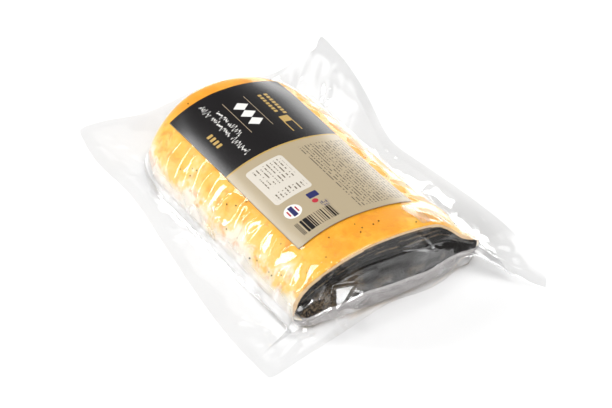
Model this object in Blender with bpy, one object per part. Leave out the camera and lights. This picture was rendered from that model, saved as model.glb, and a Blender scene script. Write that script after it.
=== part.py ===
"""A poppy seed roll in a sealed clear bag, with a label stuck across its top.

Lengths are in metres and +Z is up. The bag lies on its flat underside, the roll's length runs along X,
and the roll's cut end, where the filling shows, faces +X. Places are first worked out about the middle
of the label, and then moved so that the origin is under the middle of the bag's outline.

The bag and all it holds are one solid, as a full clear bag has no empty room inside: a dome over the roll,
a cut end with the layers of the filling in low relief, and the margin of film all round it.
"""

import math

import bpy

# Roll, as it lies in the bag
ROLL_HEIGHT = 0.044
WIDEST_HEIGHT = 0.0085
LEFT_HALF_WIDTH = 0.0575
RIGHT_HALF_WIDTH = 0.0600
CUT_END_X = 0.101
CUT_END_BOW = 0.009
CUT_END_CORNER = 0.008
LIP_FLARE = 0.0040
ROUND_END_X = -0.0965
ROUND_END_BOW = 0.012
ROUND_END_RADIUS = 0.022
TAPER_START_X = -0.048
TAPER_LENGTH = 0.040
TAPER_DEPTH = 0.011
SURFACE_UNEVENNESS = 0.0006

# Cut end, from the crust's rim down to where the film leaves it
CRUST_THICKNESS = 0.0022
LAYERED_ROWS = 16
LOWER_ROWS = 6
LAYER_RELIEF = 0.0006
LAYER_COUNT = 4
CREASE_SHARE = 0.56
CREASE_DEPTH = 0.0035
LOWER_BULGE = 0.0075

# Height at which the film leaves the cut end, as (y, height) from left to right
FOOT_HEIGHTS = [
    (-0.0575, 0.0085),
    (-0.0360, 0.0120),
    (-0.0140, 0.0155),
    (0.0120, 0.0135),
    (0.0300, 0.0120),
    (0.0450, 0.0140),
    (0.0640, 0.0130),
]

# Film margin
MARGIN_THICKNESS = 0.0008
MARGIN_RINGS = 7
RIM_EDGE_SHARE = 0.88
PLEAT_HEIGHT = 0.0009
CORNER_PLEAT_HEIGHT = 0.0020
CORNER_ROUNDING_PASSES = 4
UNDERSIDE_ROUNDING = 0.0075

# Label
LABEL_WIDTH = 0.080
LABEL_LENGTH = 0.147
LABEL_THICKNESS = 0.0003
LABEL_GAP = 0.0003

# Mesh density
BODY_ROWS = 36
ACROSS = 26
LABEL_ROWS = 22
LABEL_ACROSS = 16

# The bag's four edges about the middle of the label, as (x, y, height above the table), corner to corner
LEFT_EDGE = [
    (-0.1370, -0.0655, 0.0000),
    (-0.1030, -0.0735, 0.0000),
    (-0.0610, -0.0725, 0.0004),
    (-0.0020, -0.0810, 0.0000),
    (0.0450, -0.0880, 0.0006),
    (0.0860, -0.0915, 0.0000),
    (0.1225, -0.0905, 0.0000),
]
CUT_END_EDGE = [
    (0.1225, -0.0905, 0.0000),
    (0.1245, -0.0730, 0.0060),
    (0.1240, -0.0480, 0.0065),
    (0.1240, -0.0300, 0.0130),
    (0.1240, -0.0080, 0.0190),
    (0.1240, 0.0140, 0.0155),
    (0.1225, 0.0310, 0.0160),
    (0.1175, 0.0450, 0.0190),
    (0.1130, 0.0560, 0.0200),
    (0.1190, 0.0650, 0.0140),
    (0.1300, 0.0735, 0.0060),
    (0.1455, 0.0850, 0.0000),
]
RIGHT_EDGE = [
    (-0.1190, 0.1000, 0.0225),
    (-0.0830, 0.0980, 0.0195),
    (-0.0560, 0.0955, 0.0110),
    (-0.0370, 0.0930, 0.0015),
    (-0.0210, 0.0905, 0.0000),
    (0.0160, 0.0945, 0.0012),
    (0.0660, 0.0955, 0.0065),
    (0.1050, 0.0955, 0.0080),
    (0.1190, 0.0950, 0.0030),
    (0.1360, 0.0925, 0.0000),
    (0.1455, 0.0850, 0.0000),
]
ROUND_END_EDGE = [
    (-0.1370, -0.0655, 0.0000),
    (-0.1345, -0.0430, 0.0010),
    (-0.1300, -0.0250, 0.0008),
    (-0.1305, -0.0020, 0.0030),
    (-0.1300, 0.0240, 0.0050),
    (-0.1260, 0.0500, 0.0030),
    (-0.1225, 0.0700, 0.0010),
    (-0.1220, 0.0840, 0.0090),
    (-0.1215, 0.0940, 0.0175),
    (-0.1190, 0.1000, 0.0225),
]


def clear_scene():
    for thing in list(bpy.data.objects):
        bpy.data.objects.remove(thing)


def mix(a, b, share):
    return a + (b - a) * share


def mix_points(a, b, share):
    return tuple(mix(p, q, share) for p, q in zip(a, b))


def smooth_step(share):
    share = min(max(share, 0.0), 1.0)
    return share * share * (3.0 - 2.0 * share)


def along(points, share):
    """The point at that share of the way, by length, along a smooth curve through the points."""
    lengths = [0.0]
    for a, b in zip(points, points[1:]):
        lengths.append(lengths[-1] + math.dist(a, b))
    want = share * lengths[-1]
    last = len(points) - 1
    k = min(max(i for i, length in enumerate(lengths) if length <= want + 1e-12), last - 1)
    t = (want - lengths[k]) / (lengths[k + 1] - lengths[k])
    before, start = points[max(k - 1, 0)], points[k]
    end, after = points[k + 1], points[min(k + 2, last)]
    return tuple(
        0.5 * (2 * q + (r - p) * t + (2 * p - 5 * q + 4 * r - s) * t * t + (3 * q - p - 3 * r + s) * t**3)
        for p, q, r, s in zip(before, start, end, after)
    )


def half_width(x, side):
    """How far the roll reaches from its middle line at x, towards side -1 (left) or +1 (right)."""
    narrowing = TAPER_DEPTH * (max(TAPER_START_X - x, 0.0) / TAPER_LENGTH) ** 2
    if side < 0:
        return LEFT_HALF_WIDTH - narrowing
    return RIGHT_HALF_WIDTH - narrowing + LIP_FLARE * smooth_step((x - 0.050) / (CUT_END_X - 0.050))


def side_height(x, side):
    """The height of the roll's widest line, where the film leaves it. It climbs towards the right of the cut end."""
    if side < 0:
        return WIDEST_HEIGHT
    return mix(WIDEST_HEIGHT, FOOT_HEIGHTS[-1][1], smooth_step((x - 0.035) / (CUT_END_X - 0.045)))


def foot_height(y):
    """The height at which the film leaves the cut end, at y."""
    for (y0, h0), (y1, h1) in zip(FOOT_HEIGHTS, FOOT_HEIGHTS[1:]):
        if y < y1:
            return mix(h0, h1, smooth_step((y - y0) / (y1 - y0)))
    return FOOT_HEIGHTS[-1][1]


def cut_end_x(across):
    """Where the crust's rim lies at the cut end. across runs from -1 at the left side to 1 at the right."""
    return CUT_END_X - CUT_END_BOW * abs(across) ** 2.5 * (1.0 + 0.25 * across)


def round_end_x(across):
    return ROUND_END_X + ROUND_END_BOW * abs(across) ** 3


def unevenness(x, across):
    """Low hand-made bumps of the crust, which fade out under the label and at the sides."""
    under_label = math.exp(-((across / 0.78) ** 8)) * math.exp(-((x / 0.083) ** 8))
    bumps = math.sin(61 * x + 2.1 * across + 0.4) * math.cos(4.3 * across - 23 * x) + 0.5 * math.sin(137 * x + 5 * across)
    return SURFACE_UNEVENNESS * bumps * (1.0 - under_label) * (1.0 - across**2)


def crust_point(x, angle):
    """A point of the roll's skin at x. angle runs from -90 degrees at the left side, over the top, to 90."""
    across = math.sin(angle)
    from_round_end = (x - round_end_x(across)) / ROUND_END_RADIUS
    cap = 1.0 if from_round_end >= 1 else (1.0 - (1.0 - max(from_round_end, 0.0)) ** 2.5) ** 0.4
    side = side_height(x, across)
    rise = (ROLL_HEIGHT - side) * math.cos(angle) * cap
    return (x, half_width(x, across) * across, side + rise + unevenness(x, across) * cap)


def cut_end_point(down, angle):
    """A point of the cut end, from the crust's rim at down 0 to the foot of the end at down 1."""
    across = math.sin(angle)
    x, y, z = crust_point(cut_end_x(across), angle)
    middle = (1.0 - across**2) ** 0.5
    layers = LAYER_RELIEF * math.sin(2 * math.pi * LAYER_COUNT * down / CREASE_SHARE) * (down < CREASE_SHARE)
    crease = -CREASE_DEPTH * math.exp(-(((down - CREASE_SHARE) / 0.07) ** 2))
    bulge = LOWER_BULGE * smooth_step((down - CREASE_SHARE) / 0.24)
    turn = math.radians(80) * down
    corner = CUT_END_CORNER * across**4
    x += (layers + crease + bulge) * middle + corner * math.sin(turn)
    y -= math.copysign(corner * (1.0 - math.cos(turn)), across)
    return (x, y, mix(z, foot_height(y), down))


def angles():
    return [math.pi * (j / ACROSS - 0.5) for j in range(ACROSS + 1)]


def roll_rows():
    """The skin over the roll as rows of points from left to right, from the round end to the foot of the cut end."""
    rows = []
    for i in range(BODY_ROWS + 1):
        share = i / BODY_ROWS
        eased = mix(share, share**1.6, 0.55)
        rows.append(
            [crust_point(mix(round_end_x(math.sin(a)), cut_end_x(math.sin(a)), eased), a) for a in angles()]
        )
    rim_down = CRUST_THICKNESS / (ROLL_HEIGHT - WIDEST_HEIGHT)
    downs = [mix(rim_down, CREASE_SHARE, k / LAYERED_ROWS) for k in range(LAYERED_ROWS)]
    downs += [mix(CREASE_SHARE, 1.0, k / LOWER_ROWS) for k in range(LOWER_ROWS + 1)]
    for down in downs:
        rows.append([cut_end_point(down, a) for a in angles()])
    return rows


def contour_of(rows):
    """The closed line where the film leaves the roll, as (point, outer point) pairs, anticlockwise from above."""
    last_row, last_column = len(rows) - 1, len(rows[0]) - 1
    pairs = []
    for j in range(last_column):
        pairs.append((rows[last_row][j], along(CUT_END_EDGE, j / last_column)))
    for i in range(last_row, 0, -1):
        pairs.append((rows[i][last_column], along(RIGHT_EDGE, row_share(rows, i))))
    for j in range(last_column, 0, -1):
        pairs.append((rows[0][j], along(ROUND_END_EDGE, j / last_column)))
    for i in range(last_row):
        pairs.append((rows[i][0], along(LEFT_EDGE, row_share(rows, i))))
    inner = [pair[0] for pair in pairs]
    outer = [pair[1] for pair in pairs]
    for _ in range(CORNER_ROUNDING_PASSES):
        outer = rounded(outer)
    return list(zip(inner, outer))


def rounded(points):
    """A closed line of points with each moved half way to the middle of its two neighbours, to round its corners."""
    count = len(points)
    return [
        mix_points(points[n], mix_points(points[n - 1], points[(n + 1) % count], 0.5), 0.5) for n in range(count)
    ]


def row_share(rows, i):
    """How far along the bag's long edge the film that leaves row i ends."""
    first, last = BODY_ROWS, len(rows) - 1
    if i > first:
        return mix(RIM_EDGE_SHARE, 1.0, (i - first) / (last - first))
    middle = ACROSS // 2
    start, end = rows[0][middle][0], rows[first][middle][0]
    return RIM_EDGE_SHARE * (rows[i][middle][0] - start) / (end - start)


def pleat(n, count):
    """The height of the film's pleats at place n of count round the contour, and how near that is to a corner."""
    turn = 2 * math.pi * n / count
    waves = math.sin(23 * turn + 0.6) + 0.6 * math.sin(37 * turn + 2.2) + 0.35 * math.sin(13 * turn - 1.1)
    return waves / 1.6


def margin_point(inner, outer, share, wave, corner):
    """A point of the margin's middle surface, share 0 at the roll and 1 at the bag's edge."""
    x, y, _ = mix_points(inner, outer, share)
    fall = 1.0 - (1.0 - share) ** 1.9
    height = mix(PLEAT_HEIGHT, CORNER_PLEAT_HEIGHT, corner)
    z = mix(inner[2], outer[2] + MARGIN_THICKNESS / 2, fall)
    z += height * wave * math.sin(math.pi * share ** 0.8) * (0.45 + 0.55 * (1.0 - share))
    return (x, y, max(z, MARGIN_THICKNESS / 2))


def nearness_to_corner(outer):
    corners = (LEFT_EDGE[0], LEFT_EDGE[-1], RIGHT_EDGE[0], RIGHT_EDGE[-1])
    return math.exp(-((min(math.dist(outer[:2], c[:2]) for c in corners) / 0.045) ** 2))


def inset_points(points, distance):
    """A closed line of points, anticlockwise from above, moved inwards in the plane by that distance."""
    moved = []
    for n, (x, y, z) in enumerate(points):
        ax, ay, _ = points[n - 1]
        bx, by, _ = points[(n + 1) % len(points)]
        length = math.hypot(bx - ax, by - ay)
        moved.append((x - (by - ay) / length * distance, y + (bx - ax) / length * distance, z))
    return moved


def bridge(faces, lower, upper):
    """Quads between two closed rings of vertex numbers, facing away from the side where lower lies."""
    count = len(lower)
    for n in range(count):
        m = (n + 1) % count
        faces.append((lower[n], lower[m], upper[m], upper[n]))


def add_ring(vertices, points):
    start = len(vertices)
    vertices.extend(points)
    return list(range(start, start + len(points)))


def bag_mesh():
    rows = roll_rows()
    pairs = contour_of(rows)
    count = len(pairs)
    vertices, faces = [], []

    # The skin over the roll, as a grid
    width = ACROSS + 1
    for row in rows:
        vertices.extend(row)
    for i in range(len(rows) - 1):
        for j in range(ACROSS):
            a = i * width + j
            faces.append((a, a + width, a + width + 1, a + 1))
    last = len(rows) - 1
    contour = [last * width + j for j in range(ACROSS)]
    contour += [i * width + ACROSS for i in range(last, 0, -1)]
    contour += [j for j in range(ACROSS, 0, -1)]
    contour += [i * width for i in range(last)]

    # The margin's upper and lower film, from the roll out to the bag's edge
    half = MARGIN_THICKNESS / 2
    upper, lower_rings = contour, []
    for k in range(MARGIN_RINGS + 1):
        share = k / MARGIN_RINGS
        middle = [
            margin_point(inner, outer, share, pleat(n, count), nearness_to_corner(outer))
            for n, (inner, outer) in enumerate(pairs)
        ]
        lower_rings.append([(x, y, z - half) for x, y, z in middle])
        if k:
            ring = add_ring(vertices, [(x, y, z + half) for x, y, z in middle])
            bridge(faces, ring, upper)
            upper = ring
    lower = None
    for points in reversed(lower_rings[1:]):
        ring = add_ring(vertices, points)
        bridge(faces, ring, upper if lower is None else lower)
        lower = ring

    # The underside: it rounds down under the roll to the flat base
    foot = [(x, y, z - MARGIN_THICKNESS) for x, y, z in (inner for inner, _ in pairs)]
    steps = ((0.0, 1.0), (0.22, 0.45), (0.55, 0.12), (1.0, 0.0))
    for inward, height in steps:
        moved = inset_points(foot, UNDERSIDE_ROUNDING * inward) if inward else foot
        ring = add_ring(vertices, [(x, y, z * height) for x, y, z in moved])
        bridge(faces, ring, lower)
        lower = ring
    faces.append(tuple(reversed(lower)))
    return vertices, faces


def label_angles(x):
    """Angles at even steps of the label's width, measured over the curve of the roll at x."""
    fine = [math.radians(-80 + 0.5 * k) for k in range(321)]
    curve = [crust_point(x, angle) for angle in fine]
    top = min(range(len(fine)), key=lambda k: abs(fine[k]))
    lengths = [0.0]
    for a, b in zip(curve, curve[1:]):
        lengths.append(lengths[-1] + math.dist(a, b))
    found = []
    for j in range(LABEL_ACROSS + 1):
        want = lengths[top] + LABEL_WIDTH * (j / LABEL_ACROSS - 0.5)
        k = max(i for i, length in enumerate(lengths) if length <= want)
        found.append(mix(fine[k], fine[k + 1], (want - lengths[k]) / (lengths[k + 1] - lengths[k])))
    return found


def lifted(x, angle, height):
    """A point that far above the roll's skin, square to it."""
    across = math.sin(angle)
    half = half_width(x, across)
    rise = ROLL_HEIGHT - side_height(x, across)
    _, y, z = crust_point(x, angle)
    out = (math.sin(angle) * rise, math.cos(angle) * half)
    length = math.hypot(*out)
    return (x, y + out[0] / length * height, z + out[1] / length * height)


def label_mesh():
    sheets = []
    vertices, faces = [], []
    for height in (LABEL_GAP, LABEL_GAP + LABEL_THICKNESS):
        sheet = []
        for i in range(LABEL_ROWS + 1):
            x = LABEL_LENGTH * (i / LABEL_ROWS - 0.5)
            sheet.append(add_ring(vertices, [lifted(x, angle, height) for angle in label_angles(x)]))
        sheets.append(sheet)
    under, over = sheets
    for i in range(LABEL_ROWS):
        for j in range(LABEL_ACROSS):
            faces.append((over[i][j], over[i + 1][j], over[i + 1][j + 1], over[i][j + 1]))
            faces.append((under[i][j], under[i][j + 1], under[i + 1][j + 1], under[i + 1][j]))
    rim_under = rim_of(under)
    rim_over = rim_of(over)
    bridge(faces, rim_under, rim_over)
    return vertices, faces


def rim_of(sheet):
    """The vertex numbers round a sheet's edge, anticlockwise from above."""
    rim = list(sheet[-1][:-1])
    rim += [row[-1] for row in reversed(sheet)][:-1]
    rim += list(reversed(sheet[0]))[:-1]
    rim += [row[0] for row in sheet][:-1]
    return rim


def make_object(name, vertices, faces, material):
    mesh = bpy.data.meshes.new(name)
    mesh.from_pydata(vertices, [], faces)
    mesh.validate()
    mesh.materials.append(material)
    mesh.shade_smooth()
    mesh.set_sharp_from_angle(angle=math.radians(50))
    thing = bpy.data.objects.new(name, mesh)
    bpy.context.scene.collection.objects.link(thing)
    return thing


def make_material(name, colour, roughness, metallic=0.0, alpha=1.0):
    material = bpy.data.materials.new(name)
    material.use_nodes = True
    shader = material.node_tree.nodes["Principled BSDF"]
    shader.inputs["Base Color"].default_value = (*colour, 1.0)
    shader.inputs["Roughness"].default_value = roughness
    shader.inputs["Metallic"].default_value = metallic
    shader.inputs["Alpha"].default_value = alpha
    return material


def middle_of(vertices):
    """The middle of the outline of the points, seen from above."""
    return tuple((min(v[k] for v in vertices) + max(v[k] for v in vertices)) / 2 for k in (0, 1))


def moved(vertices, middle):
    return [(x - middle[0], y - middle[1], z) for x, y, z in vertices]


def make_bag(middle):
    vertices, faces = bag_mesh()
    crust_under_film = make_material("crust_under_film", (0.80, 0.42, 0.10), 0.25)
    return make_object("bag", moved(vertices, middle), faces, crust_under_film)


def make_label(middle):
    vertices, faces = label_mesh()
    coated_paper = make_material("coated_paper", (0.05, 0.045, 0.045), 0.35)
    return make_object("label", moved(vertices, middle), faces, coated_paper)


clear_scene()
bag_middle = middle_of(bag_mesh()[0])
make_bag(bag_middle)
make_label(bag_middle)
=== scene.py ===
import math

import bpy
import numpy as np
from mathutils import Matrix, Vector
from mathutils.kdtree import KDTree


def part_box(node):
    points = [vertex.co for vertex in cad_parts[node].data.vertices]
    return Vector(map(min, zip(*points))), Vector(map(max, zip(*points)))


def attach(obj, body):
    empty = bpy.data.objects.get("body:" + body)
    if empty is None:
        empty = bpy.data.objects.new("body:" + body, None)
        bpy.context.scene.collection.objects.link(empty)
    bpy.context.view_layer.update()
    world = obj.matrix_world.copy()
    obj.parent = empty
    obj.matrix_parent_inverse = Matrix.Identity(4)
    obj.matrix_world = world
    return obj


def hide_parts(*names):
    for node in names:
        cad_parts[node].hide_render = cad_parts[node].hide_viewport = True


# Poppy seed roll in a clear vacuum bag. Every piece is worked out about the middle of the label, on the
# roll's top line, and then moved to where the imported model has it.

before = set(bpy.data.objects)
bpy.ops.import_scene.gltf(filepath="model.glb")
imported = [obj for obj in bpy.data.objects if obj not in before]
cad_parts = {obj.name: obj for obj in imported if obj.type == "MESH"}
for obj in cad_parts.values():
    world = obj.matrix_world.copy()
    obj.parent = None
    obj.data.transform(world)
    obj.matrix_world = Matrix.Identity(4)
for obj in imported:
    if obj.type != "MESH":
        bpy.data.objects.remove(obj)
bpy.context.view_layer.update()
mm = 0.001
weldDistance = 0.002 * mm
labelLow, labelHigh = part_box("label")
topLineShift = -0.26 * mm  # the label's box reaches a little further to the right than to the left
rollPlace = np.array([(labelLow.x + labelHigh.x) / 2, (labelLow.y + labelHigh.y) / 2 + topLineShift, 0.0])
print("scene: frame loaded")

studio = {
    "cameraOffset": (1.17342, -0.73381, 1.02519),  # from the top of the roll, under the label's middle
    "cameraLook": (-0.6686, 0.4256, -0.6098),
    "lens": 171.4,
    "floorSize": 8.0,
    "floorColour": "EDEDED",
    # Brightness of the sky by height
    "sky": [(0.0, 0.85), (0.1, 0.65), (0.3, 0.1), (0.72, 0.12), (0.86, 1.1), (1.0, 1.1)],
    # Softboxes: name, place, the point they face, size in metres, power, direction of their long side
    "lights": [
        # Its reflection is the row of bright patches down the left side and the sheen on the label
        ("leftSoftbox", (-0.85, -0.64, 0.54), (0, 0, 0.03), (0.13, 1.0), 8, (-0.11, 0.61, 0.77)),
        # It whitens the film over the right shoulder
        ("rightStrip", (-2.4, 2.7, 0.5), (0, 0, 0.03), (5.0, 1.0), 56, (0, 0, 1)),
        # It lights the crust, the label and the floor
        ("keyLight", (0.75, 0.1, 2.3), (0, 0, 0), (1.25, 1.25), 27, (0, 0, 1)),
        # A haze on the film over the tongue
        ("frontFill", (1.87, 0.94, 0.92), (0.1, 0, 0.02), (2.0, 1.6), 13, (0, 0, 1)),
        # It picks out the folds of the near left corner
        ("foldLight", (0.6, -1.35, 0.98), (0.1, 0, 0.02), (0.5, 0.5), 4, (0, 0, 1)),
        # It whitens the one flat place of film on the cut end
        ("flatLight", (2.07, 0.16, 0.27), (0.1, 0, 0.02), (0.4, 0.4), 5.5, (0, 0, 1)),
    ],
}


def hexColour(text):
    # sRGB hex to linear
    parts = [int(text[k:k + 2], 16) / 255 for k in (0, 2, 4)]
    return (*[p / 12.92 if p <= 0.04045 else ((p + 0.055) / 1.055) ** 2.4 for p in parts], 1.0)


def addNode(tree, kind, links={}, operation=None, **settings):
    node = tree.nodes.new("ShaderNode" + kind)
    if operation:
        node.operation = operation
    for key, value in settings.items():
        setattr(node, key, value)
    for socket, value in links.items():
        if isinstance(value, bpy.types.Node):  # a node stands for its first live output
            value = next(output for output in value.outputs if output.enabled)
        if isinstance(value, bpy.types.NodeSocket):
            tree.links.new(value, node.inputs[socket])
        else:
            node.inputs[socket].default_value = value
    return node


def fillRamp(ramp, stops):
    elements = ramp.color_ramp.elements
    while len(elements) < len(stops):
        elements.new(0.5)
    for element, (position, colour) in zip(elements, stops):
        element.position = position
        element.color = colour


def newMaterial(name):
    # A new material, and the function that adds nodes to it
    material = bpy.data.materials.new(name)
    material.use_nodes = True
    material.node_tree.nodes.clear()
    return material, lambda *node, **settings: addNode(material.node_tree, *node, **settings)


def finishMaterial(material, shader):
    addNode(material.node_tree, "OutputMaterial", {"Surface": shader})
    return material


def mottledMaterial(name, noise, low, high, looks, bumps=None):
    # Two colours that noise mixes, with bumps from the same noise if they are given
    material, add = newMaterial(name)
    mottle = add("TexNoise", {"Vector": add("TexCoord").outputs["Object"], **noise})
    colour = add("Mix", {0: mottle, 6: hexColour(low), 7: hexColour(high)}, data_type="RGBA")
    looks = {"Base Color": colour, **looks}
    if bumps:
        looks["Normal"] = add("Bump", {"Height": mottle, **bumps})
    return finishMaterial(material, add("BsdfPrincipled", looks))


def addLight(name, place, aim, size, energy, longSide):
    light = bpy.data.lights.new(name, "AREA")
    light.shape = "RECTANGLE"
    light.size, light.size_y = size
    light.energy = energy
    lamp = bpy.data.objects.new(name, light)
    lamp.location = place
    back = (Vector(place) - Vector(aim)).normalized()
    side = Vector(longSide).cross(back).normalized()
    lamp.rotation_euler = Matrix((side, back.cross(side), back)).transposed().to_euler()
    bpy.context.scene.collection.objects.link(lamp)


def backdropPaper():
    material, add = newMaterial("matt white backdrop paper")
    return finishMaterial(material, add("BsdfDiffuse", {"Color": hexColour(studio["floorColour"])}))


def buildStudio():
    scene = bpy.context.scene
    scene.view_settings.view_transform = "Standard"  # white stays white and the crust keeps its yellow
    cameraData = bpy.data.cameras.new("camera")
    cameraData.lens = studio["lens"]
    cameraData.sensor_width = 36
    cameraData.clip_end = 20
    camera = bpy.data.objects.new("camera", cameraData)
    top = Vector(rollPlace) + Vector((0, 0, roll["height"]))
    camera.location = top + Vector(studio["cameraOffset"])
    camera.rotation_euler = Vector(studio["cameraLook"]).to_track_quat("-Z", "Y").to_euler()
    scene.collection.objects.link(camera)
    scene.camera = camera
    scene.world = bpy.data.worlds.new("studio")
    scene.world.use_nodes = True
    sky = scene.world.node_tree
    direction = addNode(sky, "TexCoord").outputs["Generated"]
    height = addNode(sky, "SeparateXYZ", {0: direction}).outputs[2]
    ramp = addNode(sky, "ValToRGB", {0: height})
    fillRamp(ramp, [(position, (light, light, light, 1)) for position, light in studio["sky"]])
    sky.links.new(ramp.outputs[0], sky.nodes["Background"].inputs["Color"])
    for settings in studio["lights"]:
        addLight(*settings)
    bpy.ops.mesh.primitive_plane_add(size=studio["floorSize"], location=(0, 0, 0))
    floor = bpy.context.object
    floor.name = "floor"
    floor.data.materials.append(backdropPaper())
    print("scene: studio built")


# The roll's form; heights at the cut end's foot go by millimetres across
roll = {
    "height": 44 * mm,
    "widestHeight": 8.5 * mm,
    "leftHalfWidth": 57.5 * mm,
    "rightHalfWidth": 63 * mm,
    "cutEndX": 101 * mm,
    "cutEndBow": 9 * mm,
    "cutEndCorner": 8 * mm,
    "lipFlare": 4 * mm,
    "beak": 3.5 * mm,
    "tipPinch": 1.3,
    "roundEndX": -94.5 * mm,
    "roundEndBow": 12 * mm,
    "roundEndRadius": 16 * mm,
    "taperStartX": -48 * mm,
    "taperLength": 40 * mm,
    "taperDepth": 11 * mm,
    "unevenness": 0.6 * mm,
    "creaseShare": 0.56,
    "lowerBulge": 7.5 * mm,
    "undersideRounding": 7.5 * mm,
    "footHeights": [(-57.5, 8.5), (-36, 12), (-14, 15.5), (12, 13.5), (30, 12), (45, 14), (64, 13)],
}


def mix(a, b, share):
    return a + (b - a) * share


def smoothStep(share):
    share = np.clip(share, 0, 1)
    return share * share * (3 - 2 * share)


def halfWidth(x, across):
    narrowing = roll["taperDepth"] * (np.maximum(roll["taperStartX"] - x, 0) / roll["taperLength"]) ** 2
    flare = roll["lipFlare"] * smoothStep((x - 50 * mm) / (roll["cutEndX"] - 50 * mm))
    flare = flare + roll["beak"] * smoothStep((x - 80 * mm) / (14 * mm))
    return np.where(across < 0, roll["leftHalfWidth"], roll["rightHalfWidth"] + flare) - narrowing


def sideHeight(x, across):
    last = roll["footHeights"][-1][1] * mm
    climb = mix(roll["widestHeight"], last, smoothStep((x - 35 * mm) / (roll["cutEndX"] - 45 * mm)))
    return np.where(across < 0, roll["widestHeight"], climb)


def footHeight(y):
    height = np.full(np.shape(y), roll["footHeights"][-1][1], float)
    pairs = list(zip(roll["footHeights"], roll["footHeights"][1:]))
    for (y0, h0), (y1, h1) in reversed(pairs):
        height = np.where(y < y1 * mm, mix(h0, h1, smoothStep((y / mm - y0) / (y1 - y0))), height)
    return height * mm


def rimX(across):
    return roll["cutEndX"] - roll["cutEndBow"] * np.abs(across) ** 2.5 * np.where(across < 0, 0.75, 0.55)


def roundX(across):
    return roll["roundEndX"] + roll["roundEndBow"] * np.abs(across) ** 3


def skinPoint(x, angle):
    # A point of the roll's skin; angle runs from -90 degrees at the left foot, over the top, to 90
    across = np.sin(angle)
    fromEnd = np.clip((x - roundX(across)) / roll["roundEndRadius"], 0, 1)
    cap = (1 - (1 - fromEnd) ** 2.5) ** 0.4
    side = sideHeight(x, across)
    pinch = 1 + roll["tipPinch"] * smoothStep((x - 76 * mm) / (20 * mm)) * smoothStep((across - 0.5) / 0.4)
    rise = (roll["height"] - side) * np.maximum(np.cos(angle), 0) ** pinch * cap
    underLabel = np.exp(-((across / 0.78) ** 8)) * np.exp(-((x / 0.083) ** 8))
    bumps = np.sin(61 * x + 2.1 * across + 0.4) * np.cos(4.3 * across - 23 * x)
    bumps = (bumps + 0.5 * np.sin(137 * x + 5 * across)) * (1 - underLabel) * (1 - across**2)
    z = side + rise + roll["unevenness"] * bumps * cap
    return np.stack([x + 0 * z, halfWidth(x, across) * across, z], -1)


def endPoint(down, angle, creaseDepth):
    # A point of the cut end, from the crust's rim at down 0 to its foot at down 1
    across = np.sin(angle)
    rim = skinPoint(rimX(across), angle)
    middle = np.sqrt(np.maximum(1 - across**2, 0))
    crease = -creaseDepth * np.exp(-(((down - roll["creaseShare"]) / 0.07) ** 2))
    out = np.clip((down - roll["creaseShare"]) / 0.42, 0, 1)
    bulge = roll["lowerBulge"] * mix(out, smoothStep(out), 0.25)
    turn = math.radians(80) * down
    corner = roll["cutEndCorner"] * across**4
    x = rim[..., 0] + (crease + bulge) * middle + corner * np.sin(turn)
    y = rim[..., 1] - np.sign(across) * corner * (1 - np.cos(turn))
    return np.stack([x, y, mix(rim[..., 2], footHeight(y), down)], -1)


def normalsOf(points):
    # Outward normals of a grid of points, [row, column, xyz]; rows run to +X and columns to +Y
    alongRows = np.gradient(points, axis=0)
    alongColumns = np.gradient(points, axis=1)
    normals = np.cross(alongRows, alongColumns)
    return normals / np.maximum(np.linalg.norm(normals, axis=-1, keepdims=True), 1e-12)


def lengthsAlong(points, axis):
    steps = np.linalg.norm(np.diff(points, axis=axis), axis=-1)
    return np.insert(np.cumsum(steps, axis=axis), 0, 0, axis=axis)


# Noise for folds and grain, from tables of seeded random numbers
randomTable = np.random.default_rng(11).random((64, 64, 2))


def softNoise(u, v, layer=0):
    # Smooth value noise from -1 to 1, one bump to each unit
    iu, iv = np.floor(u).astype(int), np.floor(v).astype(int)
    fu, fv = smoothStep(u - iu), smoothStep(v - iv)
    value = [[randomTable[(iu + a + 17 * layer) % 64, (iv + b + 29 * layer) % 64, layer % 2] for b in (0, 1)]
             for a in (0, 1)]
    return 2 * mix(mix(value[0][0], value[1][0], fu), mix(value[0][1], value[1][1], fu), fv) - 1


def bowls(u, v, layer=0):
    # Shallow bowls that meet in sharp ridges, as film does that is sucked down between its folds
    iu, iv = np.floor(u).astype(int), np.floor(v).astype(int)
    nearest = np.full(np.shape(u), 9.0)
    for a in (-1, 0, 1):
        for b in (-1, 0, 1):
            spot = randomTable[(iu + a + 13 * layer) % 64, (iv + b + 7 * layer) % 64]
            away = (iu + a + spot[..., 0] - u) ** 2 + (iv + b + spot[..., 1] - v) ** 2
            nearest = np.minimum(nearest, away)
    return nearest


def vertexPlaces(piece):
    flat = np.empty(len(piece.data.vertices) * 3)
    piece.data.vertices.foreach_get("co", flat)
    return flat.reshape(-1, 3)


def addSheet(points):
    # A primitive grid, pulled into shape: points is [row, column, xyz] about the label's middle
    rows, columns = points.shape[:2]
    bpy.ops.mesh.primitive_grid_add(x_subdivisions=columns - 1, y_subdivisions=rows - 1, size=1)
    sheet = bpy.context.object
    flat = vertexPlaces(sheet)
    column = np.rint((flat[:, 0] + 0.5) * (columns - 1)).astype(int)
    row = np.rint((flat[:, 1] + 0.5) * (rows - 1)).astype(int)
    sheet.data.vertices.foreach_set("co", (points[row, column] + rollPlace).ravel())
    sheet.data.update()
    return sheet


def wallSheets(front, back):
    # The four sides between two grids that face each other
    sides = (np.s_[0], np.s_[-1], np.s_[:, 0], np.s_[:, -1])
    return [addSheet(np.stack([front[side], back[side]])) for side in sides]


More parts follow.
